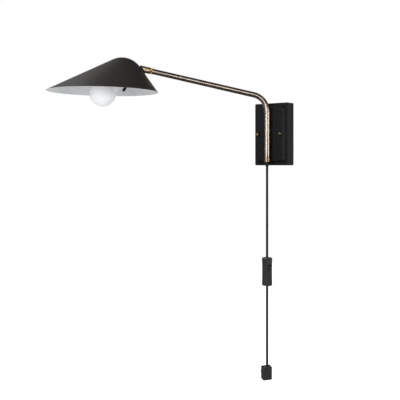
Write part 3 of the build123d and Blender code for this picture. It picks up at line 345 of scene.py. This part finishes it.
# ---------------------------------------------------------------- bulb
# A 75 mm globe blown from clear glass and frosted white inside, cemented into a moulded white
# collar. Light scatters through the frosting, so the globe looks evenly white and milky, with soft
# reflections. The frosting is slightly uneven every 10 mm.

opal, tree, shader = finish("frosted_white_glass", "#F6F8FA", 0.0, 0.3, 1.5)
place = add(tree, "ShaderNodeTexCoord")
frost = add(tree, "ShaderNodeTexNoise", {"Vector": (place, "Object"), "Scale": 1000 / 10, "Detail": 4.0})
vary(tree, shader, (frost, "Fac"), "#FAFBFD", "#FEFEFF", 0.26, 0.36)
coat(opal, "bulb_globe")

housing, tree, shader = finish("white_moulded_collar", "#EAECED", 0.0, 0.38, 1.58)
place = add(tree, "ShaderNodeTexCoord")
grain = add(tree, "ShaderNodeTexNoise", {"Vector": (place, "Object"), "Scale": 1000 / 1.5, "Detail": 2.0})
vary(tree, shader, (grain, "Fac"), "#E6E8EA", "#EFF0F1", 0.32, 0.46)
coat(housing, "bulb_collar")

# ---------------------------------------------------------------- studio
# A sheet of white paper lies far below the lamp, and the lamp hangs in a dark room in front of a
# white backdrop. The paper and the backdrop are white to the camera and behind glass. Polished
# metal sees the backdrop behind the lamp and the dark room round it, and the paper holds a painted
# dark reflection: to reflections it is dark grey and glows bright only far behind the lamp.

to_camera = Vector((0.6293, -0.7771, 0))
right = Vector((0.7771, 0.6293, 0))
tube_foot = Vector((0, -tube_stand, 0))
middle = tube_foot - right * 0.1909
floor_z = -1.3
mesh = bpy.data.meshes.new("studio_floor")
mesh.from_pydata([(-6, -6, floor_z), (6, -6, floor_z), (6, 6, floor_z), (-6, 6, floor_z)], [], [(0, 1, 2, 3)])
floor = bpy.data.objects.new("studio_floor", mesh)
bpy.context.scene.collection.objects.link(floor)
paper, tree, shader = finish("white_studio_paper", "#F2F2F2", 0.0, 0.9, 1.5)
mesh.materials.append(paper)
path = add(tree, "ShaderNodeLightPath")
clear = add(tree, "ShaderNodeMath", {0: (path, "Is Camera Ray"), 1: (path, "Is Transmission Ray")},
            operation="MAXIMUM")
place = add(tree, "ShaderNodeTexCoord")
# Painted reflection: seen in metal, the paper glows faintly in front of the lamp and fully only far behind
# it, and its colour turns dark grey, a painted dark reflection.
behind = add(tree, "ShaderNodeVectorMath", {0: (place, "Object"), 1: tuple(-to_camera)},
             operation="DOT_PRODUCT")
mirrored = add(tree, "ShaderNodeMapRange", {"Value": (behind, "Value"), "From Min": 1.5, "From Max": 3.0,
                                            "To Min": 0.03, "To Max": 1.0})
soft = add(tree, "ShaderNodeMix", {0: (path, "Is Glossy Ray"), 2: 0.31, 3: (mirrored, "Result")})
glow = add(tree, "ShaderNodeMath", {0: (clear, 0), 1: (soft, "Result")}, operation="MAXIMUM")
painted_dark_reflection = add(tree, "ShaderNodeMix", {0: (path, "Is Glossy Ray"), 6: colour("#F2F2F2"), 7: colour("#2A2A2A")},
           data_type="RGBA")
tree.links.new(painted_dark_reflection.outputs[2], shader.inputs["Base Color"])
shader.inputs["Emission Color"].default_value = (1, 1, 1, 1)
tree.links.new(glow.outputs[0], shader.inputs["Emission Strength"])

world = bpy.data.worlds.new("studio_world")
bpy.context.scene.world = world
world.use_nodes = True
tree = world.node_tree
tree.nodes.clear()
path = add(tree, "ShaderNodeLightPath")
clear = add(tree, "ShaderNodeMath", {0: (path, "Is Camera Ray"), 1: (path, "Is Transmission Ray")},
            operation="MAXIMUM")
look = add(tree, "ShaderNodeTexCoord")
facing = add(tree, "ShaderNodeVectorMath", {0: (look, "Generated"), 1: tuple(-to_camera)},
             operation="DOT_PRODUCT")
backdrop = add(tree, "ShaderNodeMapRange", {"Value": (facing, "Value"), "From Min": 0.8, "From Max": 0.95,
                                            "To Min": 0.06, "To Max": 1.0})
room = add(tree, "ShaderNodeMix", {0: (path, "Is Glossy Ray"), 2: 0.22, 3: (backdrop, "Result")})
level = add(tree, "ShaderNodeMath", {0: (clear, 0), 1: (room, "Result")}, operation="MAXIMUM")
shown = add(tree, "ShaderNodeBackground", {"Color": (1, 1, 1, 1), "Strength": (level, 0)})
add(tree, "ShaderNodeOutputWorld", {"Surface": (shown, "Background")})

# ---------------------------------------------------------------- lamps and camera
# Five softboxes: the key behind the shade and above, one to the left, one to the right, a faint
# strip at the far right and a small one above the camera. The middle pair draw the bright lines
# down the upright tube, and the top one the line along the arm.


def softbox(name, sideways, elevation, distance, size, power, aim):
    """A soft area lamp, sideways degrees to the right of the camera and elevation above it."""
    turn, rise = math.radians(sideways), math.radians(elevation)
    way = (to_camera * math.cos(turn) + right * math.sin(turn)) * math.cos(rise) + up * math.sin(rise)
    lamp = bpy.data.lights.new(name, "AREA")
    lamp.shape = "RECTANGLE"
    lamp.size, lamp.size_y = size
    lamp.energy = power
    made = bpy.data.objects.new(name, lamp)
    bpy.context.scene.collection.objects.link(made)
    made.location = aim + way * distance
    made.rotation_mode = "QUATERNION"
    made.rotation_quaternion = way.to_track_quat("Z", "Y")


softbox("key_softbox", -100, 42, 1.9, (1.4, 1.2), 22, middle)
softbox("left_softbox", -37, 3, 1.9, (1.2, 0.8), 13, middle)
softbox("right_softbox", 55, 2, 1.9, (0.9, 0.6), 7, tube_foot)
softbox("right_strip", 100, 0, 1.9, (0.7, 0.9), 3, tube_foot)
softbox("top_softbox", 4, 13, 2.3, (0.9, 0.65), 8, middle)

camera_data = bpy.data.cameras.new("camera")
camera = bpy.data.objects.new("camera", camera_data)
bpy.context.scene.collection.objects.link(camera)
bpy.context.scene.camera = camera
distance = 2.16
mm_per_pixel = 2.846
picture_width = 400
camera_data.sensor_width = 36
camera_data.lens = distance * 1000 / mm_per_pixel / picture_width * 36
camera_data.shift_y = -0.0875
camera.location = middle + to_camera * distance - up * 0.088
camera.rotation_mode = "QUATERNION"
camera.rotation_quaternion = to_camera.to_track_quat("Z", "Y")

bpy.context.scene.view_settings.view_transform = "Standard"
